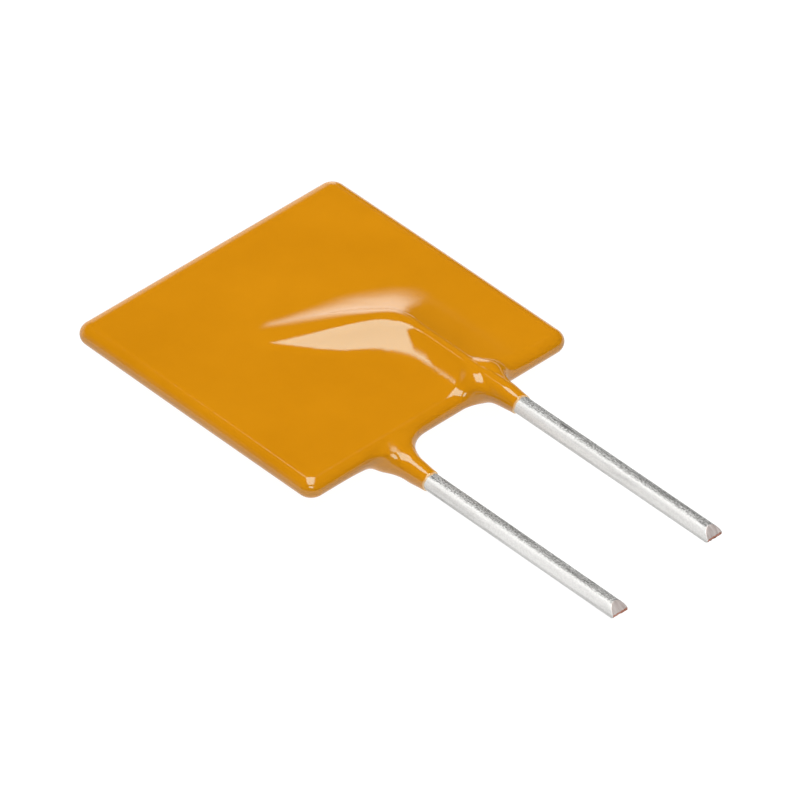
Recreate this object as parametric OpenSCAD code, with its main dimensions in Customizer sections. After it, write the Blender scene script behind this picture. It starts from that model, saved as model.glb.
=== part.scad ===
// Radial-leaded resettable fuse: a square chip of conductive polymer between two foil electrodes,
// one bent tinned lead soldered across each face, and a dip coat that flows over all of it.
// Millimetres. +X runs along the leads to their tips, +Z is up through the flat faces.
// The part lies on the lead ridge of its lower face, and its box is centred over the origin.

/* [Chip] */
// Length of the chip along the leads
chip_l = 13.4; // [10:0.1:18]
// Width of the chip across the leads
chip_w = 13.6; // [10:0.1:18]
// Thickness of the conductive polymer
polymer_t = 0.26; // [0.2:0.01:0.5]
// Thickness of each foil electrode
foil_t = 0.035; // [0.02:0.005:0.08]

/* [Leads] */
// Diameter of the tinned wire
wire_d = 0.81; // [0.6:0.01:1]
// Thickness of the tin finish, kept on the bare run of each lead and lost to the solder under the coat
finish_t = 0.004; // [0.002:0.001:0.01]
// Length over which the tin finish fades out under the neck of the coat
finish_fade = 0.6; // [0.55:0.05:1]
// Distance between the axes of the two leads
pitch = 5.1; // [4:0.1:6.5]
// Bare length of the upper lead beyond the coat
lead_free = 11.36; // [7:0.02:30]
// How much shorter the lower lead is trimmed
lower_trim = 0.2; // [0:0.05:2]
// Length of the slanted faces that the cutter leaves at each tip
nip_l = 0.36; // [0.1:0.02:1]
// Height of the torn edge between those two faces
nip_edge = 0.12; // [0.04:0.02:0.4]
// Distance of the bend's corner from the chip's centre line
bend_x = 2; // [1:0.05:3]
// Angle through which the wire turns across the chip
bend_angle = 55; // [45:1:70]
// Radius of the bend at the wire's axis
bend_r = 1.6; // [1:0.1:2.5]
// Length of the tail from the bend's corner to its end
tail_l = 5.2; // [4:0.1:6.5]
// Thickness of the tail's flattened end
tail_t = 0.25; // [0.15:0.01:0.4]

/* [Solder] */
// Film of solder between the wire and the foil
solder_film = 0.0125; // [0.005:0.0025:0.03]
// Reach of the solder to each side of the wire's axis
solder_reach = 0.75; // [0.6:0.05:1]
// Height to which the solder climbs beside the wire
solder_h = 0.27; // [0.1:0.01:0.3]
// Distance of the solder's end from the chip's edge
solder_margin = 0.6; // [0.3:0.1:2]

/* [Coat] */
// Thickness of the coat over the middle of the chip's faces
coat_face = 0.375; // [0.3:0.005:0.6]
// How much the coat on each face thins towards the chip's two ends
coat_crown = 0.04; // [0.03:0.005:0.08]
// Thickness of the coat around the chip's edges
coat_edge = 0.56; // [0.4:0.01:0.8]
// Radius of the coat's corners, seen from above
corner_r = 0.7; // [0.6:0.05:2]
// Thickness of the coat over the round wires on the chip's faces
coat_ridge = 0.11; // [0.08:0.01:0.25]
// Thickness of the coat over each wire's flattened end
coat_tail = 0.38; // [0.2:0.01:0.5]
// Radius of the coat's crest over a round wire
ridge_r = 0.5; // [0.45:0.05:0.8]
// Radius of the coat's crest over a wire's flattened end
tail_ridge_r = 3.2; // [1.5:0.1:4]
// Radius of the hollow on each side of a crest
hollow_r = 3; // [2:0.1:4]
// How fast the pool of coat inside a bend widens with the distance from the wire
bend_pool = 0.45; // [0.2:0.05:0.8]
// Thickness of the coat at the root of the necks
coat_wire = 0.14; // [0.08:0.01:0.25]
// Thickness of the coat where it ends on the leads
coat_lip = 0.06; // [0.04:0.01:0.1]
// Length of the necks that the coat draws out along the leads
neck_l = 2.08; // [1.5:0.02:3]
// Length before the chip's edge over which the coat swells to the neck
neck_run = 1.5; // [1:0.1:2.5]
// Reach of the hollow between a neck and the chip's edge
fillet_neck = 1.15; // [0.8:0.05:1.6]

/* [Hidden] */
$fn = 48;

// Chip and coat sizes that follow from the driving ones
stack_t = polymer_t + 2 * foil_t;
plate_l = chip_l + 2 * coat_edge;
plate_w = chip_w + 2 * coat_edge;
plate_t = stack_t + 2 * coat_face;
edge_r = plate_t / 2;

// The upper wire: straight run, bend and tail, on top of the upper foil
wire_r = wire_d / 2;
copper_d = wire_d - 2 * finish_t;
wire_y = pitch / 2;
wire_z = stack_t / 2 + solder_film + wire_r;
neck_end = plate_l / 2 + neck_l;
tip_x = neck_end + lead_free;
bend_reach = bend_r * tan(bend_angle / 2);
bend_centre = [bend_x + bend_reach, wire_y - bend_r];
tail_dir = [-cos(bend_angle), -sin(bend_angle)];
tail_run = tail_l - bend_reach;
tail_start = [bend_x, wire_y] + bend_reach * tail_dir;
tail_sink = wire_d - tail_t;

// Rise of the coat above the chip's faces: over the round wire, over its flattened end, and its half width
LEAST_RISE = 0.02;
ridge_h = max(wire_z + wire_r + coat_ridge - edge_r, LEAST_RISE);
tail_h = max(wire_z - wire_r + tail_t + coat_tail - edge_r, LEAST_RISE);
ridge_w = 0.7 * hollow_r;

// Overlap where the tail leaves the bend, and the step that keeps it inside the bend there
SEAM_LAP = 0.05;
SEAM_STEP = 0.004;

// Resolution of the coat's skin
ROOT_STEPS = 16;
CAP_RAYS = 5;
NECK_COLUMNS = 9;
EDGE_COLUMNS = 6;
LIP_CHAMFER = 0.02;
SKIN_END = 0.004;

// Least reach of a hollow
LEAST_REACH = 0.05;

function clamp01(v) = min(max(v, 0), 1);
function ease(v) = let (u = clamp01(v)) u * u * (3 - 2 * u);

// Union of two distances with a hollow of reach k where they meet
function flow(a, b, k) = let (h = max(k - abs(a - b), 0) / k) min(a, b) - h * h * k / 4;

// How far a place lies beyond the bend's corner in the tail's direction
function past_bend(p) = ([p.x, p.y] - [bend_x, wire_y]) * tail_dir;

// Distance in plan from the upper wire's axis, less inside the bend, where the liquid coat pools
function wire_distance(p) =
    let (from_run = wire_y - p.y,
         from_tail = (p.x - bend_x) * sin(bend_angle) + from_run * cos(bend_angle),
         corner_cut = 4 * bend_r * (1 - cos(bend_angle / 2)),
         pool = bend_pool * max(min(from_run, from_tail), 0))
    norm([flow(from_run, from_tail, corner_cut + pool), max(past_bend(p) - tail_l, 0)]);

// Rise of the coat over the upper wire: a round crest that runs out in a hollow on each side,
// lower and flatter along the tail
function ridge_height(p) =
    let (beyond = past_bend(p),
         pressed = clamp01((beyond + bend_reach) / (tail_l + bend_reach)),
         height = ridge_h + (tail_h - ridge_h) * pow(clamp01(beyond / tail_l), 1.5),
         crest_r = ridge_r + (tail_ridge_r - ridge_r) * pressed,
         steepest = acos(1 - height / (crest_r + hollow_r)),
         foot = (crest_r + hollow_r) * sin(steepest),
         d = wire_distance(p))
    d < crest_r * sin(steepest) ? height - crest_r + sqrt(crest_r * crest_r - d * d)
    : d < foot ? hollow_r - sqrt(hollow_r * hollow_r - pow(foot - d, 2))
    : 0;

// Distance from the coated chip: a crowned plate with round corners, round edges and a ridge on each face
function plate_distance(p) =
    let (q = [abs(p.x) - plate_l / 2 + corner_r, abs(p.y) - plate_w / 2 + corner_r],
         side = norm([max(q.x, 0), max(q.y, 0)]) + min(max(q.x, q.y), 0) - corner_r + edge_r,
         crown = coat_crown * pow(clamp01(2 * abs(p.x) / plate_l), 2),
         half_t = edge_r - crown + ridge_height(p.z > 0 ? p : turned(p)))
    norm([max(side, 0), p.z * edge_r / half_t]) - edge_r;

// Share of the run-in to the neck that lies behind a place along the leads
function run_in(x) = ease((x - plate_l / 2) / neck_run + 1);

// Thickness of the coat round the wire: most at the neck's root, thin again where the neck ends
function wire_cover(x) =
    coat_lip + (coat_wire - coat_lip) * run_in(x) * (1 - ease(2 * (x - plate_l / 2) / neck_l - 1));

// Distance from the sleeve of coat round the upper wire's straight run, which becomes the neck
function sleeve_distance(p) =
    norm([min(p.x - bend_centre.x, 0), p.y - wire_y, p.z - wire_z]) - wire_r - wire_cover(p.x);

// Reach of the hollow beside the upper neck: none on top of it, fading out towards the lower face
function fillet_reach(p) =
    let (across = [p.y - wire_y, p.z - wire_z],
         overhead = max(across.y, 0) / max(norm(across), LEAST_REACH),
         upper_share = ease(1.25 + p.z / edge_r))
    max(fillet_neck * upper_share * run_in(p.x) * (1 - overhead * overhead), LEAST_REACH);

// The lower wire is the upper one turned half round about the X axis
function turned(p) = [p.x, -p.y, -p.z];

// Distance from the whole coat, cut square where the necks end
function coat_distance(p) =
    let (lower = turned(p),
         upper_side = flow(plate_distance(p), sleeve_distance(p), fillet_reach(p)),
         both_sides = flow(upper_side, sleeve_distance(lower), fillet_reach(lower)))
    max(both_sides, p.x - neck_end);

// Length along a ray from inside the coat to its skin
function skin_length(start, ray, inside, outside, steps = ROOT_STEPS) =
    let (middle = (inside + outside) / 2)
    steps == 0 ? middle
    : coat_distance(start + middle * ray) < 0 ? skin_length(start, ray, middle, outside, steps - 1)
    : skin_length(start, ray, inside, middle, steps - 1);

function on_skin(start, ray, reach = 2 * wire_d + plate_t) = start + skin_length(start, ray, 0, reach) * ray;

// Height of a column's core line, which climbs from the chip's middle into the neck
function core_z(x, y) =
    let (beside = abs(y - wire_y) - wire_r)
    wire_z * (1 - ease(beside / fillet_neck)) * ease((x - plate_l / 2 + edge_r) / (2 * edge_r) + 0.25);

// Place where a column's core line leaves the coat on the lead side
function core_end(y, inside, outside, steps = ROOT_STEPS) =
    let (middle = (inside + outside) / 2)
    steps == 0 ? middle
    : coat_distance([middle, y, core_z(middle, y)]) < 0 ? core_end(y, middle, outside, steps - 1)
    : core_end(y, inside, middle, steps - 1);

// Stations along a column: close together where the wire's tail crosses it and near the lead side
function spread(from, to, count) = [for (i = [0 : count - 1]) from + (to - from) * i / count];
function crowd(from, to, count) = [for (i = [0 : count - 1]) to - (to - from) * pow(1 - i / count, 2)];
function crossing_x(y) = bend_x - (wire_y - y) / tan(bend_angle);
function stations(y, first, last) =
    let (band = ridge_w / sin(bend_angle),
         cross = min(max(crossing_x(y), first + 1.2 * band), last - 1.4 * band),
         lead_side = max(min(last, plate_l / 2) - fillet_neck, cross + 1.1 * band))
    concat(crowd(first, cross - band, 6), spread(cross - band, cross + band, 14),
           spread(cross + band, lead_side, 3), spread(lead_side, last, 7), [last]);

// Half of a column's loop, from the far tip over one face to the tip on the lead side
function half_loop(y, first, last, face, far_cap, lead_cap) =
    let (stops = stations(face * y, first, last),
         fan = [for (i = [1 : CAP_RAYS]) 90 * i / (CAP_RAYS + 1)],
         far_core = [first, y, core_z(first, y)],
         lead_core = [last, y, core_z(last, y)],
         far_h = skin_length(far_core, [0, 0, face], 0, plate_t),
         lead_h = skin_length(lead_core, [0, 0, face], 0, plate_t + wire_d))
    concat([for (a = fan) on_skin(far_core, [-far_cap * cos(a), 0, face * far_h * sin(a)], 3)],
           [for (x = stops) on_skin([x, y, core_z(x, y)], [0, 0, face])],
           [for (a = fan) on_skin(lead_core, [lead_cap * sin(a), 0, face * lead_h * cos(a)], 3)]);

// One closed loop of the skin in the plane of a column
function loop(y) =
    let (end = core_end(y, plate_l / 2 - corner_r, neck_end + 1),
         far_end = skin_length([0, y, 0], [-1, 0, 0], 0, plate_l),
         lead_cap = end > neck_end - LIP_CHAMFER ? LIP_CHAMFER : min(edge_r, corner_r) * 0.8,
         far_cap = min(edge_r, corner_r) * 0.8,
         first = far_cap - far_end,
         last = end - lead_cap,
         lead_tip = on_skin([last, y, core_z(last, y)], [1, 0, 0]),
         upper = half_loop(y, first, last, 1, far_cap, lead_cap),
         lower = half_loop(y, first, last, -1, far_cap, lead_cap),
         count = len(lower))
    concat([[-far_end, y, 0]], upper, [lead_tip],
           [for (i = [1 : count]) lower[count - i]]);

// The same loop on the other side of the X axis
function turned_loop(points) =
    let (count = len(points)) [for (i = [0 : count - 1]) turned(points[(count - i) % count])];

// Columns across one half of the coat: between the leads, over the neck, beside it and round the edge
lip_r = wire_r + coat_lip;
neck_steps = [for (i = [0 : NECK_COLUMNS - 1]) lip_r * cos(180 - 180 * (i + 0.5) / NECK_COLUMNS)];
beside_steps = [0.03, 0.1, 0.2, 0.33, 0.5, 0.72, 1];
inner_columns = [for (i = [len(beside_steps) - 1 : -1 : 0]) wire_y - lip_r - fillet_neck * beside_steps[i]];
outer_columns = [for (s = beside_steps) wire_y + lip_r + fillet_neck * s];
rim_start = plate_w / 2 - max(corner_r, edge_r);
last_outer = outer_columns[len(outer_columns) - 1];
columns = concat(spread(0, inner_columns[0], 2), inner_columns, [for (s = neck_steps) wire_y + s],
                 outer_columns, [for (i = [1 : 3]) last_outer + (rim_start - last_outer) * i / 4],
                 [for (i = [0 : EDGE_COLUMNS - 1])
                     rim_start + (plate_w / 2 - SKIN_END - rim_start) * sin(90 * i / (EDGE_COLUMNS - 1))]);

half_loops = [for (y = columns) loop(y)];
half_count = len(half_loops);
skin_loops = concat([for (i = [half_count - 1 : -1 : 1]) turned_loop(half_loops[i])], half_loops);
skin_points = [for (ring = skin_loops, p = ring) p];
loop_size = len(half_loops[0]);
loop_count = len(skin_loops);
skin_faces = concat(
    [[for (i = [0 : loop_size - 1]) i]],
    [for (j = [0 : loop_count - 2], i = [0 : loop_size - 1], half = [0, 1])
        let (a = j * loop_size + i, b = j * loop_size + (i + 1) % loop_size)
        half == 0 ? [a, a + loop_size, b] : [b, a + loop_size, b + loop_size]],
    [[for (i = [loop_size - 1 : -1 : 0]) (loop_count - 1) * loop_size + i]]);

// Where the part lies: box centred over the origin, lower ridge on the ground
rest_z = max([for (p = skin_points) p.z]);
rest_x = (plate_l / 2 - tip_x) / 2;

module at_rest() {
    translate([rest_x, 0, rest_z]) children();
}

module lower_side() {
    rotate([180, 0, 0]) children();
}

// Places children, drawn upright across a wire, along one stretch of the upper wire
module along_straight(from, to) {
    translate([from, wire_y, 0]) rotate([90, 0, 90]) linear_extrude(to - from) children();
}

module along_bend() {
    translate([bend_centre.x, bend_centre.y, 0]) rotate([0, 0, 90])
        rotate_extrude(angle = bend_angle) translate([bend_r, 0]) children();
}

module down_tail() {
    translate([tail_start.x, tail_start.y, 0]) rotate([90, 0, 270 + bend_angle]) children();
}

// The upper wire: tinned bare run, buried run, round bend and flattened tail
module wire(trim = 0) {
    bare_run(lead_free - trim);
    buried_run();
    along_bend() translate([0, wire_z]) circle(d = copper_d);
    flat_tail();
}

module lower_wire() {
    lower_side() wire(lower_trim);
}

// The bare run, nipped off from above and below, with a torn edge between
module bare_run(length) {
    lean = atan2((wire_d - nip_edge) / 2, nip_l);
    translate([neck_end, wire_y, wire_z]) rotate([0, 90, 0]) difference() {
        cylinder(d = wire_d, h = length);
        for (side = [0, 180])
            rotate([0, 0, side]) translate([nip_edge / 2, -wire_d, length]) rotate([0, -lean, 0])
                translate([0, 0, -wire_d]) cube([wire_d, 2 * wire_d, 2 * wire_d]);
    }
}

// The straight run under the coat, where the tin finish fades out
module buried_run() {
    plain_l = neck_end - finish_fade - bend_centre.x;
    translate([bend_centre.x, wire_y, wire_z]) rotate([0, 90, 0]) {
        cylinder(d = copper_d, h = plain_l);
        translate([0, 0, plain_l]) cylinder(d1 = copper_d, d2 = wire_d, h = finish_fade);
    }
}

// The tail, pressed to a wedge that thins from the bend to its end
module flat_tail() {
    slope = atan2(tail_sink, tail_run);
    foot_z = wire_z - wire_r;
    down_tail() difference() {
        translate([0, wire_z, -SEAM_LAP]) cylinder(d = copper_d - 2 * SEAM_STEP, h = tail_run + SEAM_LAP);
        translate([-wire_d, foot_z + tail_t, tail_run]) rotate([slope, 0, 0])
            translate([0, 0, -2 * tail_run]) cube([2 * wire_d, wire_d, 4 * tail_run]);
    }
}

// Section of the solder across the wire: a hollow fillet on each side
module solder_section(climb = solder_h, step = 0) {
    foot = stack_t / 2;
    reach = solder_reach - step;
    crest = 0.8 * wire_r - step;
    hollow = [for (a = [0 : 15 : 90]) [reach - (reach - crest) * sin(a), foot + climb * (1 - cos(a))]];
    polygon(concat(hollow, [for (i = [len(hollow) - 1 : -1 : 0]) [-hollow[i].x, hollow[i].y]]));
}

// The solder with the wire still in it, lower along the flattened tail and a little longer than it
module solder_bed() {
    along_straight(bend_centre.x, chip_l / 2 - solder_margin) solder_section();
    along_bend() solder_section();
    down_tail() translate([0, 0, -SEAM_LAP]) linear_extrude(tail_run + SEAM_LAP + solder_reach / 2)
        solder_section(min(solder_h - SEAM_STEP, 0.8 * tail_t), SEAM_STEP);
}

module solder() {
    difference() {
        solder_bed();
        wire();
    }
}

module foil() {
    translate([-chip_l / 2, -chip_w / 2, polymer_t / 2]) cube([chip_l, chip_w, foil_t]);
}

module coating() {
    color([0.85, 0.56, 0.07]) at_rest() difference() {
        polyhedron(skin_points, skin_faces, convexity = 6);
        cube([chip_l, chip_w, stack_t], center = true);
        wire();
        solder_bed();
        lower_wire();
        lower_side() solder_bed();
    }
}

module ptc_core() {
    color([0.12, 0.12, 0.13]) at_rest() cube([chip_l, chip_w, polymer_t], center = true);
}

module top_foil() {
    color([0.72, 0.7, 0.66]) at_rest() foil();
}

module bottom_foil() {
    color([0.72, 0.7, 0.66]) at_rest() lower_side() foil();
}

module top_lead() {
    color([0.78, 0.78, 0.77]) at_rest() wire();
}

module bottom_lead() {
    color([0.78, 0.78, 0.77]) at_rest() lower_wire();
}

module top_solder() {
    color([0.66, 0.67, 0.69]) at_rest() solder();
}

module bottom_solder() {
    color([0.66, 0.67, 0.69]) at_rest() lower_side() solder();
}

coating();
ptc_core();
top_foil();
bottom_foil();
top_lead();
bottom_lead();
top_solder();
bottom_solder();
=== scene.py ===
import math

import bpy
import numpy as np
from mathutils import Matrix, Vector


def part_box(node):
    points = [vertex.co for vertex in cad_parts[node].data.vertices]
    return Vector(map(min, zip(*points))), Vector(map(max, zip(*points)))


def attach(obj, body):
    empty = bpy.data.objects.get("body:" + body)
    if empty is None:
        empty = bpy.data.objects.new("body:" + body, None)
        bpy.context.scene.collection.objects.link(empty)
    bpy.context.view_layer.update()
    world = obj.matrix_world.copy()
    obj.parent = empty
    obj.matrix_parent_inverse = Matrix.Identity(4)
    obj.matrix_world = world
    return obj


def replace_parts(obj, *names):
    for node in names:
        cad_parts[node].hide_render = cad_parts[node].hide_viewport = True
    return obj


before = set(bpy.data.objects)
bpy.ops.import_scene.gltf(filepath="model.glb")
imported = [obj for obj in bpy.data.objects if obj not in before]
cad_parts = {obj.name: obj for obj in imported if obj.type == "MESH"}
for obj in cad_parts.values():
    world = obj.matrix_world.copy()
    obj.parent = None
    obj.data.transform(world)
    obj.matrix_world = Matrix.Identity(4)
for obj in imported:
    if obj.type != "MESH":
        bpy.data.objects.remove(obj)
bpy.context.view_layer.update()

MM = 0.001

# Sizes of the CAD model, in millimetres
CHIP = np.array([13.4, 13.6])
STACK_T = 0.33
WIRE_R = 0.405
WIRE_Y = 2.55
SOLDER_FILM = 0.0125
WIRE_Z = STACK_T / 2 + SOLDER_FILM + WIRE_R
COAT_FACE = 0.375
COAT_CROWN = 0.04
COAT_EDGE = 0.56
CORNER_R = 0.7
COAT_WIRE = 0.14
COAT_LIP = 0.06
NECK_L = 2.08
LEAD_FREE = 11.36
LOWER_TRIM = 0.2
NIP_L = 0.36
NIP_EDGE = 0.12
BEND_X = 2.0
BEND_ANGLE = math.radians(55)
BEND_R = 1.6
TAIL_L = 5.2
TAIL_T = 0.25
RIDGE_H = 0.5575
TAIL_H = 0.2675
RIDGE_R = 0.5
TAIL_R = 3.2
HOLLOW_R = 3.0
TAIL_SLOPE = 1.5
BEND_POOL = 0.45
FILLET_NECK = 1.15
FILLET_RISE = 1.25
NECK_RUN_IN = 1.5
INNER_TOP = 2.0
LEAST_REACH = 0.05

# Softer run-outs of the coat, finer than the CAD model has
OUTER_EASE = 1.6
TAIL_FADE = 0.6
FADE_FROM = 1.5
FADE_TO = 6.0
OUTER_TOP = 4.0
EDGE_RUN = 0.64

# The coat's uneven lip on the leads: size, count and drift of its waves, and how it thins out
LIP_WAVES = ((0.05, 1, 1.0), (0.03, 2, 2.3), (0.012, 7, 0.0))
UPPER_PHASE, LOWER_PHASE = 0.9, 2.6
LIP_W = 0.11
LIP_DIVE = 0.03
LIP_BACK = 0.2
LIP_ROOM = 0.15
FEATHER_W = 0.10

# Sizes that follow from them
PLATE = CHIP + 2 * COAT_EDGE
HALF = PLATE / 2
PLATE_T = STACK_T + 2 * COAT_FACE
EDGE_R = PLATE_T / 2
NECK_END = HALF[0] + NECK_L
CUT_X = NECK_END + LIP_ROOM
BEND_REACH = BEND_R * math.tan(BEND_ANGLE / 2)
BEND_CENTRE = np.array([BEND_X + BEND_REACH, WIRE_Y - BEND_R])
TAIL_DIR = np.array([-math.cos(BEND_ANGLE), -math.sin(BEND_ANGLE)])
TAIL_RUN = TAIL_L - BEND_REACH
TAIL_START = np.array([BEND_X, WIRE_Y]) + BEND_REACH * TAIL_DIR
TAIL_SINK = 2 * WIRE_R - TAIL_T

# The chip's middle in the row frame
core_low, core_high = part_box("ptc_core")
BODY = (core_low + core_high) / 2

# The photograph's viewpoint, found from the plate's edges and the leads
VIEW_AZIMUTH = math.radians(47.438)
VIEW_ELEVATION = math.radians(39.612)
VIEW_DISTANCE = 0.5
VIEW_LENS = 543.5
VIEW_SENSOR = 36
VIEW_AIM_RIGHT = 3.2203 * MM
VIEW_AIM_DOWN = 2.6134 * MM
RIGHT = Vector((math.cos(VIEW_AZIMUTH), math.sin(VIEW_AZIMUTH), 0))
TOWARDS = Vector((math.sin(VIEW_AZIMUTH), -math.cos(VIEW_AZIMUTH), 0))
BACK = TOWARDS * math.cos(VIEW_ELEVATION) + Vector((0, 0, math.sin(VIEW_ELEVATION)))
UP = BACK.cross(RIGHT)


# Distance functions of the coat

def clamp01(v):
    return np.clip(v, 0, 1)


def ease(v):
    u = clamp01(v)
    return u * u * (3 - 2 * u)


def flow(a, b, reach):
    """Union of two distances with a hollow of that reach where they meet."""
    h = np.maximum(reach - np.abs(a - b), 0) / reach
    return np.minimum(a, b) - h * h * reach / 4


def past_bend(x, y):
    """How far a place lies beyond the bend's corner in the tail's direction."""
    return (x - BEND_X) * TAIL_DIR[0] + (y - WIRE_Y) * TAIL_DIR[1]


def wire_side(x, y):
    """Signed distance in plan from the upper wire's axis, less where the liquid coat pools in the bend."""
    from_run = WIRE_Y - y
    from_tail = (x - BEND_X) * math.sin(BEND_ANGLE) + from_run * math.cos(BEND_ANGLE)
    corner_cut = 4 * BEND_R * (1 - math.cos(BEND_ANGLE / 2))
    pool = BEND_POOL * np.maximum(np.minimum(from_run, from_tail), 0)
    return flow(from_run, from_tail, corner_cut + pool)


def ridge_height(x, y):
    """Rise of the coat over the upper wire: a round crest that runs out in a hollow on each side."""
    beyond = past_bend(x, y)
    pressed = clamp01((beyond + BEND_REACH) / (TAIL_L + BEND_REACH))
    height = RIDGE_H + (TAIL_H - RIDGE_H) * clamp01(beyond / TAIL_L) ** TAIL_SLOPE
    height = height * (1 - TAIL_FADE * ease((beyond - FADE_FROM) / (FADE_TO - FADE_FROM)))
    crest = RIDGE_R + (TAIL_R - RIDGE_R) * pressed
    across = wire_side(x, y)
    hollow = HOLLOW_R * (1 + OUTER_EASE * ease(-across / crest) * (1 - pressed))
    steepest = np.arccos(1 - height / (crest + hollow))
    turn_over = crest * np.sin(steepest)
    foot = (crest + hollow) * np.sin(steepest)
    d = np.hypot(across, np.maximum(beyond - TAIL_L, 0))
    top = height - crest + np.sqrt(np.maximum(crest ** 2 - np.minimum(d, turn_over) ** 2, 0))
    side = hollow - np.sqrt(np.maximum(hollow ** 2 - np.maximum(foot - d, 0) ** 2, 0))
    return np.where(d < turn_over, top, side)


def plate_distance(x, y, z):
    """Distance from the coated chip, a crowned plate with fully round edges and a ridge on each face."""
    qx = np.abs(x) - HALF[0] + CORNER_R
    qy = np.abs(y) - HALF[1] + CORNER_R
    side = np.hypot(np.maximum(qx, 0), np.maximum(qy, 0)) + np.minimum(-flow(-qx, -qy, CORNER_R), 0)
    crown = COAT_CROWN * clamp01(np.abs(x) / HALF[0]) ** 2
    rise = ridge_height(x, np.where(z > 0, y, -y))
    half_t = EDGE_R - crown + rise
    run_out = np.maximum(side - CORNER_R + EDGE_RUN, 0) * EDGE_R / EDGE_RUN
    return np.hypot(run_out, z * EDGE_R / half_t) - EDGE_R


def lip_end(turn, phase):
    """Where the coat runs out on a lead: an uneven ring round the wire."""
    return NECK_END + sum(size * np.sin(count * turn + drift * phase) for size, count, drift in LIP_WAVES)


def wire_cover(x, turn, phase):
    """Thickness of the coat on the wire, rounded off to a feather edge at its end."""
    neck = ease(2 * (x - HALF[0]) / NECK_L - 1)
    root_share = ease((x - HALF[0] + NECK_RUN_IN) / NECK_RUN_IN)
    cover = COAT_LIP + (COAT_WIRE - COAT_LIP) * root_share * (1 - neck)
    run_out = clamp01((x - lip_end(turn, phase) + LIP_W) / LIP_W)
    return (cover + LIP_DIVE) * np.sqrt(1 - run_out ** 2) - LIP_DIVE


def sleeve_distance(x, y, z, phase):
    """Distance from the sleeve round the upper wire's straight run, which becomes the neck."""
    dy, dz = y - WIRE_Y, z - WIRE_Z
    cover = wire_cover(x, np.arctan2(dz, dy), phase)
    before = np.minimum(x - BEND_CENTRE[0], 0)
    return np.sqrt(before ** 2 + dy ** 2 + dz ** 2) - WIRE_R - cover


def fillet_reach(x, y, z):
    """Reach of the hollow beside a neck: least on its top and on the plate's other face."""
    dy, dz = y - WIRE_Y, z - WIRE_Z
    overhead = np.maximum(dz, 0) / np.maximum(np.hypot(dy, dz), 1e-6)
    run_in = ease((x - HALF[0] + NECK_RUN_IN) / NECK_RUN_IN)
    share = ease(FILLET_RISE + z / EDGE_R)
    near_top = overhead ** np.where(dy > 0, OUTER_TOP, INNER_TOP)
    return np.maximum(FILLET_NECK * share * run_in * (1 - near_top), LEAST_REACH)


def coat_distance(x, y, z):
    """Distance from the whole coat; the lower wire is the upper one turned half round the X axis."""
    upper = flow(plate_distance(x, y, z), sleeve_distance(x, y, z, UPPER_PHASE), fillet_reach(x, y, z))
    both = flow(upper, sleeve_distance(x, -y, -z, LOWER_PHASE), fillet_reach(x, -y, -z))
    return np.maximum(both, x - CUT_X)


def coat_normal(p, step=0.004):
    x, y, z = p.T
    g = np.stack([coat_distance(x + step, y, z) - coat_distance(x - step, y, z),
                  coat_distance(x, y + step, z) - coat_distance(x, y - step, z),
                  coat_distance(x, y, z + step) - coat_distance(x, y, z - step)], axis=1)
    return g / np.maximum(np.linalg.norm(g, axis=1, keepdims=True), 1e-9)


# The coat's skin: closed loops in planes of constant Y

ROOT_STEPS = 30
CORE_LEAD = 0.25
CAST_REACH = 3.0
WELL_INSIDE, WELL_OUTSIDE = 0.1, 0.5

# Columns of each half: the middle, beside the neck, on it, outside it and round the edge
MIDDLE_COLUMNS, BESIDE_COLUMNS, NECK_COLUMNS, OUTSIDE_COLUMNS, EDGE_COLUMNS = 12, 22, 36, 22, 18
BESIDE_POWER = 2.4
EDGE_MARGIN = 0.002

# Rows of each face: its far part, the ridge of the tail, behind that and the lead side; rays round the ends
FAR_ROWS, RIDGE_ROWS, BACK_ROWS, LEAD_ROWS, FAN_RAYS = 16, 64, 16, 44, 12
FAR_POWER = 1.6
BAND_SHARE = 0.7
BAND_BEFORE, BAND_AFTER, BAND_CLEAR = 1.2, 1.4, 1.1
CAP_SHARE = 0.8
LEAST_CAP = 0.02


def core_z(x, y):
    """Height of a column's core line, which moves from the chip's middle into the neck."""
    beside = np.abs(np.abs(y) - WIRE_Y) - WIRE_R
    rise = ease((x - HALF[0] + EDGE_R) / (2 * EDGE_R) + CORE_LEAD)
    return np.sign(y) * WIRE_Z * (1 - ease(beside / FILLET_NECK)) * rise


def root(inside, outside, distance):
    """Bisection for the place between two values where a distance changes sign."""
    for _ in range(ROOT_STEPS):
        middle = (inside + outside) / 2
        within = distance(middle) < 0
        inside, outside = np.where(within, middle, inside), np.where(within, outside, middle)
    return (inside + outside) / 2


def cast(x, y, z, rx, ry, rz, reach):
    """Length along rays from inside the coat to its skin."""
    start = np.zeros(np.broadcast(x, y, z, rx, rz).shape)
    return root(start, start + reach, lambda t: coat_distance(x + t * rx, y + t * ry, z + t * rz))


def coat_columns():
    """Y of each column: close together at the necks, beside them and round the edges."""
    lip = WIRE_R + COAT_LIP
    beside = FILLET_NECK * (np.arange(1, BESIDE_COLUMNS + 1) / BESIDE_COLUMNS) ** BESIDE_POWER
    neck = lip * np.cos(np.pi - np.pi * (np.arange(NECK_COLUMNS) + 0.5) / NECK_COLUMNS)
    inner = WIRE_Y - lip - beside[::-1]
    outer = WIRE_Y + lip + beside
    rim = HALF[1] - max(CORNER_R, EDGE_R)
    middle = np.linspace(0, inner[0], MIDDLE_COLUMNS)[1:-1]
    outside = np.linspace(outer[-1], rim, OUTSIDE_COLUMNS)[1:-1]
    edge = rim + (HALF[1] - EDGE_MARGIN - rim) * np.sin(np.linspace(0, np.pi / 2, EDGE_COLUMNS))
    half = np.concatenate([middle, inner, WIRE_Y + neck, outer, outside, edge])
    return np.concatenate([-half[::-1], [0], half])


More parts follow.
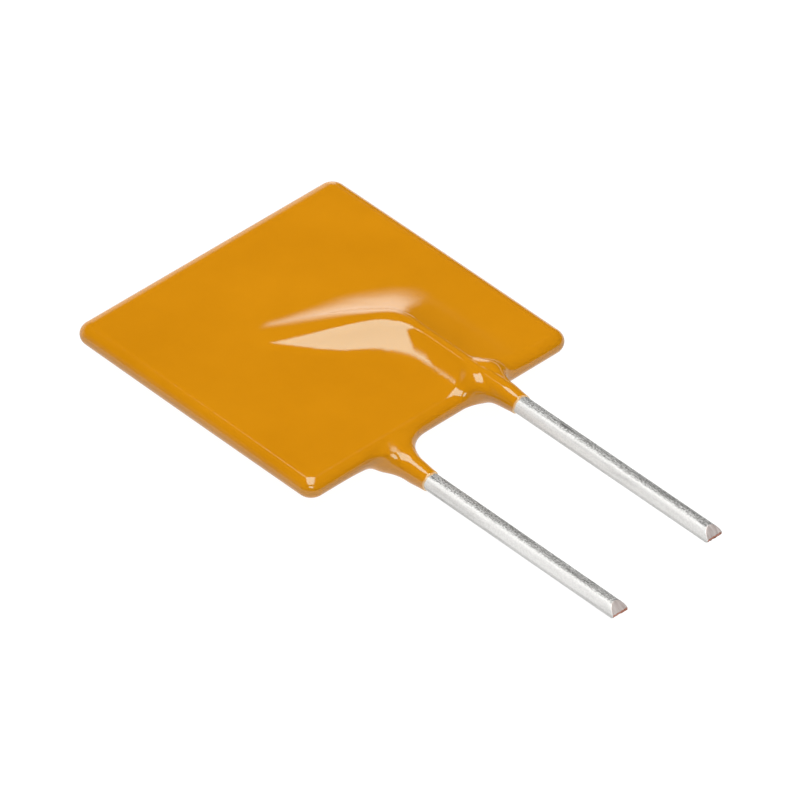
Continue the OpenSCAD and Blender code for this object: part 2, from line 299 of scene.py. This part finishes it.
def stretch(start, end, count, power=1.0):
    """Rows of values from start towards end, without the end, closer together near the start."""
    t = (np.arange(count) / count) ** power
    return start[:, None] + (end - start)[:, None] * t


def fan_rows(x, y, z, rx, rz):
    """Points on the skin along fans of rays, one fan for each column."""
    x, y, z = x[:, None], y[:, None], z[:, None]
    rx, rz = np.broadcast_arrays(rx, rz)
    length = cast(x, y, z, rx, 0, rz, CAST_REACH)
    return np.stack([x + length * rx, y + 0 * length, z + length * rz], axis=2)


def coat_points():
    """Points of the skin, one loop for each column: far tip, upper face, lead tip and lower face."""
    y = coat_columns()
    zero = np.zeros_like(y)
    start = zero + HALF[0] - CORNER_R - WELL_INSIDE
    end = root(start, zero + CUT_X + WELL_OUTSIDE, lambda x: coat_distance(x, y, core_z(x, y)))
    far = cast(zero, y, zero, -1, 0, 0, PLATE[0])
    cap = min(EDGE_R, CORNER_R) * CAP_SHARE
    lead_cap = np.clip(0.5 * (NECK_END - end), LEAST_CAP, cap)
    first, last = cap - far, np.minimum(end - lead_cap, NECK_END - LIP_BACK)
    lead_cap = np.minimum(end, NECK_END) - last
    far_z, lead_z = core_z(first, y), core_z(last, y)
    fan = np.pi / 2 * np.arange(1, FAN_RAYS + 1) / (FAN_RAYS + 1)
    band = BAND_SHARE * HOLLOW_R / math.sin(BEND_ANGLE)

    def face_rows(side):
        """Points of one face from the far edge to the lead edge, close together over the tail."""
        cross = BEND_X - (WIRE_Y - side * y) / math.tan(BEND_ANGLE)
        cross = np.clip(cross, first + BAND_BEFORE * band, last - BAND_AFTER * band)
        lead_side = np.maximum(np.minimum(last, HALF[0]) - FILLET_NECK, cross + BAND_CLEAR * band)
        x = np.concatenate([stretch(first, cross - band, FAR_ROWS, FAR_POWER),
                            stretch(cross - band, cross + band, RIDGE_ROWS),
                            stretch(cross + band, lead_side, BACK_ROWS),
                            stretch(lead_side, last, LEAD_ROWS),
                            last[:, None]], axis=1)
        yy = np.broadcast_to(y[:, None], x.shape)
        z = core_z(x, yy)
        rise = cast(x, yy, z, 0, 0, side, CAST_REACH)
        rows = np.stack([x, yy, z + side * rise], axis=2)
        far_h = side * cast(first, y, far_z, 0, 0, side, CAST_REACH)[:, None]
        lead_h = side * cast(last, y, lead_z, 0, 0, side, CAST_REACH)[:, None]
        far_fan = fan_rows(first, y, far_z, -cap * np.cos(fan), far_h * np.sin(fan))
        lead_fan = fan_rows(last, y, lead_z, lead_cap[:, None] * np.sin(fan), lead_h * np.cos(fan))
        return np.concatenate([far_fan, rows, lead_fan], axis=1)

    upper, lower = face_rows(1), face_rows(-1)
    lead_reach = cast(last, y, lead_z, 1, 0, 0, CAST_REACH)
    tip_far = np.stack([-far, y, zero], axis=1)[:, None]
    tip_lead = np.stack([last + lead_reach, y, lead_z], axis=1)[:, None]
    return np.concatenate([tip_far, upper, tip_lead, lower[:, ::-1]], axis=1)


def loop_faces(columns, size):
    """Quads between neighbouring loops, and the two end loops closed."""
    j, i = np.meshgrid(np.arange(columns - 1), np.arange(size), indexing="ij")
    a, b = j * size + i, j * size + (i + 1) % size
    quads = np.stack([a, b, b + size, a + size], axis=2).reshape(-1, 4).tolist()
    return quads + [list(range(size))[::-1], list(range((columns - 1) * size, columns * size))]


def new_mesh(name, points_mm, faces, normals=None):
    """An object in the row frame from points in millimetres round the chip's middle."""
    mesh = bpy.data.meshes.new(name)
    mesh.from_pydata((np.asarray(points_mm) * MM + np.array(BODY)).tolist(), [], faces)
    mesh.validate()
    mesh.shade_smooth()
    if normals is not None:
        mesh.normals_split_custom_set_from_vertices(normals.tolist())
    obj = bpy.data.objects.new(name, mesh)
    bpy.context.scene.collection.objects.link(obj)
    return obj


def feather(p):
    """One at the edge where the coat runs out on a lead, nought a little way in from it."""
    x, y, z = p.T
    side = np.sign(y)
    turn = np.arctan2(side * z - WIRE_Z, side * y - WIRE_Y)
    end = lip_end(turn, np.where(y > 0, UPPER_PHASE, LOWER_PHASE))
    return 1 - ease((end - x) / FEATHER_W)


def make_coat():
    """The coat's skin, with its thinness at the lips for the material."""
    points = coat_points()
    columns, size, _ = points.shape
    points = points.reshape(-1, 3)
    coat = new_mesh("dip_coat", points, loop_faces(columns, size), coat_normal(points))
    thin = coat.data.attributes.new("thin", "FLOAT", "POINT")
    thin.data.foreach_set("value", feather(points).astype(np.float32))
    return coat


# The leads: swept wire with a flattened tail under the coat and a nipped tip

# Points of a ring, and rings along the tail, bend, covered run, bare run and nipped tip
RING = 64
TAIL_RINGS, BEND_RINGS, COVERED_RINGS, BARE_RINGS, NIP_RINGS = 24, 20, 16, 170, 14
BARE_FROM = NECK_END - 0.4

# The torn edge at the tip, and the numbers of the finishes
TORN, TORN_L = 0.022, 0.06
LEVEL = 1e-6
TIN, SMEAR, COPPER = 0, 1, 2


def lead_path(trim):
    """Spots in plan, headings, shares of the tail and lengths to the tip, from a wire's tail to its tip."""
    tip = NECK_END + LEAD_FREE - trim
    rows = []
    for s in np.linspace(TAIL_RUN, 0, TAIL_RINGS, endpoint=False):
        rows.append((TAIL_START + s * TAIL_DIR, -TAIL_DIR, s / TAIL_RUN, None))
    for a in np.linspace(BEND_ANGLE, 0, BEND_RINGS, endpoint=False):
        spot = BEND_CENTRE + BEND_R * np.array([-math.sin(a), math.cos(a)])
        rows.append((spot, np.array([math.cos(a), math.sin(a)]), 0, None))
    straight = np.concatenate([np.linspace(BEND_CENTRE[0], BARE_FROM, COVERED_RINGS, endpoint=False),
                               np.linspace(BARE_FROM, tip - NIP_L, BARE_RINGS, endpoint=False),
                               np.linspace(tip - NIP_L, tip, NIP_RINGS)])
    for x in straight:
        rows.append((np.array([x, WIRE_Y]), np.array([1.0, 0]), 0, tip - x))
    return rows


def lead_ring(spot, heading, share, to_tip, turn, rough):
    """One ring of a wire, cut flat on top along the tail and from both sides at the nipped tip."""
    across = WIRE_R * np.cos(turn)
    height = WIRE_R * np.sin(turn)
    if share:
        height = np.minimum(height, TAIL_T - WIRE_R + (1 - share) * TAIL_SINK)
    if to_tip is not None and to_tip < NIP_L:
        half = NIP_EDGE / 2 + (WIRE_R - NIP_EDGE / 2) * to_tip / NIP_L
        height = np.clip(height, -half, half)
    normal = np.array([-heading[1], heading[0]])
    x = spot[0] + normal[0] * across + rough * heading[0]
    y = spot[1] + normal[1] * across
    return np.stack([x, y, WIRE_Z + height], axis=1)


def is_nipped(ring, i, k):
    """Whether both points of a ring lie on the flat that the cutter left."""
    return abs(ring[i][2] - ring[k][2]) < LEVEL


def make_lead(name, trim, side, seed):
    """A wire with its tinned, smeared and bare copper faces numbered; the lower one is turned over."""
    rng = np.random.default_rng(seed)
    turn = np.linspace(0, 2 * np.pi, RING, endpoint=False)
    torn = TORN * np.interp(np.arange(RING), np.arange(0, RING + 1, 2), rng.uniform(-1, 1, RING // 2 + 1))
    rings = []
    for spot, heading, share, to_tip in lead_path(trim):
        near_tip = 0 if to_tip is None else clamp01(1 - to_tip / TORN_L)
        rings.append(lead_ring(spot, heading, share, to_tip, turn, near_tip * torn))
    points = np.concatenate(rings)
    points[:, 1:] *= side
    count = len(rings)
    faces, finish = [], []
    for j in range(count - 1):
        for i in range(RING):
            k = (i + 1) % RING
            faces.append([j * RING + i, (j + 1) * RING + i, (j + 1) * RING + k, j * RING + k])
            finish.append(SMEAR if j >= count - NIP_RINGS and is_nipped(rings[j + 1], i, k) else TIN)
    faces.append(list(range(RING)))
    faces.append(list(range((count - 1) * RING, count * RING))[::-1])
    obj = new_mesh(name, points, faces)
    obj.data.polygons.foreach_set("material_index", finish + [TIN, COPPER])
    return obj


# Materials

# Most of a noise's values lie between these
NOISE_LOW, NOISE_HIGH = 0.3, 0.7


def add(tree, kind, **properties):
    """A node of that kind with some of its properties set."""
    node = tree.nodes.new(kind)
    for key, value in properties.items():
        setattr(node, key, value)
    return node


def new_material(name):
    """A material with its nodes and its shader."""
    material = bpy.data.materials.new(name)
    material.use_nodes = True
    tree = material.node_tree
    shader = tree.nodes["Principled BSDF"]
    return material, tree, shader


def object_noise(tree, scale, detail=3.0, roughness=0.55, stretch_xyz=(1, 1, 1)):
    """Noise in the row frame, with its scale in features per metre, stretched along the axes."""
    where = add(tree, "ShaderNodeTexCoord")
    mapping = add(tree, "ShaderNodeMapping")
    mapping.inputs["Scale"].default_value = stretch_xyz
    noise = add(tree, "ShaderNodeTexNoise")
    noise.inputs["Scale"].default_value = scale
    noise.inputs["Detail"].default_value = detail
    noise.inputs["Roughness"].default_value = roughness
    tree.links.new(where.outputs["Object"], mapping.inputs["Vector"])
    tree.links.new(mapping.outputs["Vector"], noise.inputs["Vector"])
    return noise.outputs["Fac"]


def maths(tree, operation, *values):
    """A sum, product or the like of numbers and node outputs."""
    node = add(tree, "ShaderNodeMath", operation=operation)
    for socket, value in zip(node.inputs, values):
        if isinstance(value, (int, float)):
            socket.default_value = value
        else:
            tree.links.new(value, socket)
    return node.outputs["Value"]


def ramp(tree, value, stops):
    """Colours blended between stops along a value."""
    node = add(tree, "ShaderNodeValToRGB")
    while len(node.color_ramp.elements) < len(stops):
        node.color_ramp.elements.new(0.5)
    for element, (place, colour) in zip(node.color_ramp.elements, stops):
        element.position = place
        element.color = (*colour, 1)
    tree.links.new(value, node.inputs["Fac"])
    return node.outputs["Color"]


def tones(dark, light):
    """Stops of a ramp over a noise."""
    return [(NOISE_LOW, dark), (NOISE_HIGH, light)]


def spread(tree, value, low, high):
    """A noise stretched to a range."""
    node = add(tree, "ShaderNodeMapRange")
    node.inputs["From Min"].default_value = NOISE_LOW
    node.inputs["From Max"].default_value = NOISE_HIGH
    node.inputs["To Min"].default_value = low
    node.inputs["To Max"].default_value = high
    tree.links.new(value, node.inputs["Value"])
    return node.outputs["Result"]


def window(tree, value, low, high):
    """Nought at the low value, one at the high value, smooth between them; low may be the greater."""
    node = add(tree, "ShaderNodeMapRange", interpolation_type="SMOOTHSTEP")
    node.inputs["From Min"].default_value = low
    node.inputs["From Max"].default_value = high
    tree.links.new(value, node.inputs["Value"])
    return node.outputs["Result"]


def facing(tree, way):
    """How far a surface looks one way in the row frame: one straight that way, minus one straight back."""
    where = add(tree, "ShaderNodeTexCoord")
    node = add(tree, "ShaderNodeVectorMath", operation="DOT_PRODUCT")
    node.inputs[1].default_value = way
    tree.links.new(where.outputs["Normal"], node.inputs[0])
    return node.outputs["Value"]


def bump(tree, shader, value, depth_mm, strength=1.0):
    """Fine relief of a depth in millimetres."""
    node = add(tree, "ShaderNodeBump")
    node.inputs["Strength"].default_value = strength
    node.inputs["Distance"].default_value = depth_mm * MM
    tree.links.new(value, node.inputs["Height"])
    tree.links.new(node.outputs["Normal"], shader.inputs["Normal"])


# The coat: amber shades, the pale colour of its thin lips, gloss and orange peel
COAT_TONES = tones((0.532, 0.205, 0.0020), (0.578, 0.227, 0.0030))
LIP_COLOUR = (0.80, 0.55, 0.30)
COAT_ROUGHNESS = (0.05, 0.09)
COAT_IOR = 1.58
COAT_SHEEN = (0.60, 1.0, 1.0, 1)
COAT_PEEL = 0.004


def coat_material():
    """Glossy amber epoxy, pale where it runs out on the leads."""
    material, tree, shader = new_material("amber_dip_coat")
    colour = ramp(tree, object_noise(tree, scale=260, detail=4.0), COAT_TONES)
    thin = add(tree, "ShaderNodeAttribute", attribute_name="thin")
    edge = add(tree, "ShaderNodeMix", data_type="RGBA")
    edge.inputs["B"].default_value = (*LIP_COLOUR, 1)
    tree.links.new(thin.outputs["Fac"], edge.inputs["Factor"])
    tree.links.new(colour, edge.inputs["A"])
    tree.links.new(edge.outputs["Result"], shader.inputs["Base Color"])
    haze = object_noise(tree, scale=1800, detail=2.0)
    tree.links.new(spread(tree, haze, *COAT_ROUGHNESS), shader.inputs["Roughness"])
    shader.inputs["IOR"].default_value = COAT_IOR
    shader.inputs["Specular Tint"].default_value = COAT_SHEEN
    bump(tree, shader, object_noise(tree, scale=2400, detail=2.0), COAT_PEEL)
    return material


# The tin from unworn and unshaded to most worn and darkest painted shade, the two ways that the painted
# shade on the wire's top and underside faces, and the noise and facing values that each kind spans
TIN_SHADES = [(0.0, (0.90, 0.89, 0.87)),
              (0.35, (0.62, 0.615, 0.60)),
              (0.7, (0.28, 0.275, 0.265)),
              (1.0, (0.10, 0.098, 0.094))]
TOP_SHADE_WAY, TOP_SHADE_SPAN = (0, 0.26, 0.966), (0.66, 0.92)
UNDER_SHADE_WAY, UNDER_SHADE_SPAN = (0, -0.77, -0.64), (0.60, 0.90)
LINE_SPAN = (0.42, 0.75)
GRAIN_SPAN = (0.36, 0.64)
SCUFF_SPAN = (0.62, 0.70)

# How much each kind of worn mark and each painted shade counts
TOP_SHADE_BASE, TOP_SHADE_GRAIN = 0.40, 0.36
UNDER_SHADE_DEPTH = 0.28
LINE_WEAR = 0.25
GRAIN_WEAR = 0.12
SCUFF_WEAR = 0.30
TIN_METALLIC = 0.35
TIN_ROUGHNESS = (0.45, 0.65)
TIN_GRAIN, TIN_GRAIN_STRENGTH = 0.014, 0.9


def tin_material():
    """Matt tin with drawn lines, grain and scuffs, and painted shade that darkens its top and its
    underside.
    """
    material, tree, shader = new_material("matt_tin")
    lines = object_noise(tree, scale=3200, detail=4.0, roughness=0.65, stretch_xyz=(0.06, 1, 1))
    grain = object_noise(tree, scale=19000, detail=2.0, roughness=0.65, stretch_xyz=(0.6, 1, 1))
    scuffs = object_noise(tree, scale=2600, detail=1.0, roughness=0.5, stretch_xyz=(0.25, 1, 1))
    lines = window(tree, lines, *LINE_SPAN)
    speckle = window(tree, grain, *GRAIN_SPAN)
    scuffs = window(tree, scuffs, *SCUFF_SPAN)
    # Painted shade: the wire's top and its underside are darkened by the way each faces in the row frame
    top_shade_mask = window(tree, facing(tree, TOP_SHADE_WAY), *TOP_SHADE_SPAN)
    under = window(tree, facing(tree, UNDER_SHADE_WAY), *UNDER_SHADE_SPAN)
    # The top's painted shade, deeper where the grain speckles
    grainy_top_shade = maths(tree, "MULTIPLY_ADD", speckle, TOP_SHADE_GRAIN, TOP_SHADE_BASE)
    wear_and_shade = maths(tree, "MULTIPLY", top_shade_mask, grainy_top_shade)
    # Worn marks add to the painted shade; the scuffs show only where the top's painted shade lies
    kinds = ((under, UNDER_SHADE_DEPTH), (lines, LINE_WEAR), (speckle, GRAIN_WEAR),
             (maths(tree, "MULTIPLY", scuffs, top_shade_mask), SCUFF_WEAR))
    for kind, weight in kinds:
        wear_and_shade = maths(tree, "MULTIPLY_ADD", kind, weight, wear_and_shade)
    tree.links.new(ramp(tree, wear_and_shade, TIN_SHADES), shader.inputs["Base Color"])
    shader.inputs["Metallic"].default_value = TIN_METALLIC
    tree.links.new(spread(tree, grain, *TIN_ROUGHNESS), shader.inputs["Roughness"])
    bump(tree, shader, grain, TIN_GRAIN, TIN_GRAIN_STRENGTH)
    return material


# The cutter's marks at the tips
COPPER_TONES = tones((0.34, 0.13, 0.08), (0.55, 0.24, 0.16))
SMEAR_TONES = tones((0.55, 0.46, 0.43), (0.74, 0.67, 0.64))
CUT_ROUGHNESS = (0.35, 0.55)
CUT_STRENGTH = 0.6


def cut_material(name, shades, scale, stretch_xyz, metallic, depth_mm):
    """Metal dragged by the cutter that nipped the leads."""
    material, tree, shader = new_material(name)
    drag = object_noise(tree, scale, detail=3.0, roughness=0.6, stretch_xyz=stretch_xyz)
    tree.links.new(ramp(tree, drag, shades), shader.inputs["Base Color"])
    shader.inputs["Metallic"].default_value = metallic
    tree.links.new(spread(tree, drag, *CUT_ROUGHNESS), shader.inputs["Roughness"])
    bump(tree, shader, drag, depth_mm, CUT_STRENGTH)
    return material


def copper_material():
    return cut_material("sheared_copper", COPPER_TONES, 12000, (1, 1, 0.2), 0.5, 0.008)


def smear_material():
    return cut_material("smeared_tin", SMEAR_TONES, 9000, (0.2, 1, 0.2), 0.45, 0.006)


# Finishes of the pieces that the coat hides
ROUGHNESS_SPREAD = 0.08
HIDDEN_GRAIN, HIDDEN_STRENGTH = 0.01, 0.5
CARBON = ((0.012, 0.012, 0.013), (0.03, 0.03, 0.032))
NICKEL = ((0.42, 0.40, 0.36), (0.62, 0.60, 0.55))
SOLDER = ((0.45, 0.45, 0.46), (0.62, 0.62, 0.63))


def plain_material(name, colours, scale, roughness, metallic=0.0):
    """A procedural finish for a piece that the coat hides."""
    material, tree, shader = new_material(name)
    grain = object_noise(tree, scale, detail=4.0)
    rough = spread(tree, grain, roughness - ROUGHNESS_SPREAD, roughness + ROUGHNESS_SPREAD)
    tree.links.new(ramp(tree, grain, tones(*colours)), shader.inputs["Base Color"])
    tree.links.new(rough, shader.inputs["Roughness"])
    shader.inputs["Metallic"].default_value = metallic
    bump(tree, shader, grain, HIDDEN_GRAIN, HIDDEN_STRENGTH)
    return material


FLOOR_TONES = tones((0.09, 0.09, 0.09), (0.10, 0.10, 0.10))
FLOOR_ROUGHNESS = 0.9
FLOOR_GLOW = 0.97


def floor_material():
    """A white table, lit from below as in a light tent."""
    material, tree, shader = new_material("white_table")
    colour = ramp(tree, object_noise(tree, scale=30, detail=2.0), FLOOR_TONES)
    tree.links.new(colour, shader.inputs["Base Color"])
    shader.inputs["Roughness"].default_value = FLOOR_ROUGHNESS
    shader.inputs["Emission Color"].default_value = (1, 1, 1, 1)
    shader.inputs["Emission Strength"].default_value = FLOOR_GLOW
    return material


def give(obj, *materials, slot=None):
    """Replaces an object's materials; its faces keep the numbers of theirs."""
    numbers = [face.material_index for face in obj.data.polygons]
    obj.data.materials.clear()
    for material in materials:
        obj.data.materials.append(material)
    obj.data.polygons.foreach_set("material_index", numbers)
    return obj


# Stage: table, studio light and camera

FLOOR_HALF = 2.0

# Soft boxes in a level plane overhead: their reach towards the camera and to the right, per unit of height
SOFTBOX = 6.0
SOFTBOX_U = (-0.56, 0.50)
SOFTBOX_V = (-0.385, 0.285)
FILL = 6.0
FILL_U = (0.85, 1.60)
FILL_V = (-0.35, 0.35)
SOFTBOX_EDGE = 0.055
LEAST_LIFT = 0.05

# A low backdrop behind the part, dimmer at its left and dark at its right
BACKDROP = 2.4
BACKDROP_EDGE = (0.54, 0.22)
BACKDROP_BEHIND = (0.4, -0.6)
BACKDROP_RIGHT = (0.155, 0.06)
BACKDROP_LEFT = (-0.22, -0.05)
BACKDROP_LEFT_SHARE = 0.4
FRONT = 0.15
AMBIENT = 0.03


def make_floor():
    mesh = bpy.data.meshes.new("table_top")
    half = FLOOR_HALF
    corners = [(-half, -half, 0), (half, -half, 0), (half, half, 0), (-half, half, 0)]
    mesh.from_pydata(corners, [], [(0, 1, 2, 3)])
    floor = bpy.data.objects.new("table_top", mesh)
    bpy.context.scene.collection.objects.link(floor)
    give(floor, floor_material())


def make_light():
    """A white studio: soft boxes overhead and a bright sweep low down, strongest behind the part."""
    world = bpy.data.worlds.new("studio")
    bpy.context.scene.world = world
    world.use_nodes = True
    tree = world.node_tree
    background = tree.nodes["Background"]
    where = add(tree, "ShaderNodeTexCoord")
    direction = where.outputs["Generated"]

    def dot(vector):
        node = add(tree, "ShaderNodeVectorMath", operation="DOT_PRODUCT")
        tree.links.new(direction, node.inputs[0])
        node.inputs[1].default_value = vector
        return node.outputs["Value"]

    def times(first, second):
        return maths(tree, "MULTIPLY", first, second)

    height, towards, right = dot((0, 0, 1)), dot(TOWARDS), dot(RIGHT)
    lift = maths(tree, "MAXIMUM", height, LEAST_LIFT)
    u = maths(tree, "DIVIDE", towards, lift)
    v = maths(tree, "DIVIDE", right, lift)

    def panel(strength, u_range, v_range):
        """A rectangular soft box in a level plane overhead."""
        box = strength
        for value, (low, high) in ((u, u_range), (v, v_range)):
            box = times(box, window(tree, value, low - SOFTBOX_EDGE, low + SOFTBOX_EDGE))
            box = times(box, window(tree, value, high + SOFTBOX_EDGE, high - SOFTBOX_EDGE))
        return box

    boxes = maths(tree, "ADD", panel(SOFTBOX, SOFTBOX_U, SOFTBOX_V), panel(FILL, FILL_U, FILL_V))
    behind = window(tree, towards, *BACKDROP_BEHIND)
    sweep = maths(tree, "MULTIPLY_ADD", behind, BACKDROP - FRONT, FRONT)
    low = times(sweep, window(tree, height, *BACKDROP_EDGE))
    low = times(low, window(tree, right, *BACKDROP_RIGHT))
    left = window(tree, right, *BACKDROP_LEFT)
    low = times(low, maths(tree, "MULTIPLY_ADD", left, 1 - BACKDROP_LEFT_SHARE, BACKDROP_LEFT_SHARE))
    total = maths(tree, "ADD", maths(tree, "ADD", boxes, low), AMBIENT)
    tree.links.new(total, background.inputs["Strength"])
    background.inputs["Color"].default_value = (1, 1, 1, 1)


def make_camera():
    data = bpy.data.cameras.new("photo_camera")
    data.sensor_width = VIEW_SENSOR
    data.lens = VIEW_LENS
    data.clip_start = 0.01
    data.clip_end = 10
    camera = bpy.data.objects.new("photo_camera", data)
    camera.location = BODY + BACK * VIEW_DISTANCE
    aim = BODY + RIGHT * VIEW_AIM_RIGHT - UP * VIEW_AIM_DOWN
    camera.rotation_euler = (aim - camera.location).to_track_quat("-Z", "Y").to_euler()
    bpy.context.scene.collection.objects.link(camera)
    bpy.context.scene.camera = camera


# Each lead: its name, the node it replaces, how much it is trimmed, its side and its seed
LEADS = (("upper_wire", "top_lead", 0, 1, 3),
         ("lower_wire", "bottom_lead", LOWER_TRIM, -1, 5))


def dress():
    """Every piece of the object with its finish."""
    coat = give(make_coat(), coat_material(), slot="coat")
    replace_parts(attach(coat, "root"), "coating")
    finishes = (tin_material(), smear_material(), copper_material())
    for name, node, trim, side, seed in LEADS:
        lead = give(make_lead(name, trim, side, seed), *finishes, slot="tinned_wire")
        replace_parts(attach(lead, "root"), node)
    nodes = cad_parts
    give(nodes["ptc_core"], plain_material("carbon_polymer", CARBON, scale=4000, roughness=0.6))
    foil = plain_material("nickel_foil", NICKEL, scale=7000, roughness=0.4, metallic=1.0)
    solder = plain_material("soft_solder", SOLDER, scale=3000, roughness=0.35, metallic=1.0)
    for name in ("top_foil", "bottom_foil"):
        give(nodes[name], foil)
    for name in ("top_solder", "bottom_solder"):
        give(nodes[name], solder)


bpy.context.scene.view_settings.view_transform = "Standard"
dress()
make_floor()
make_light()
make_camera()
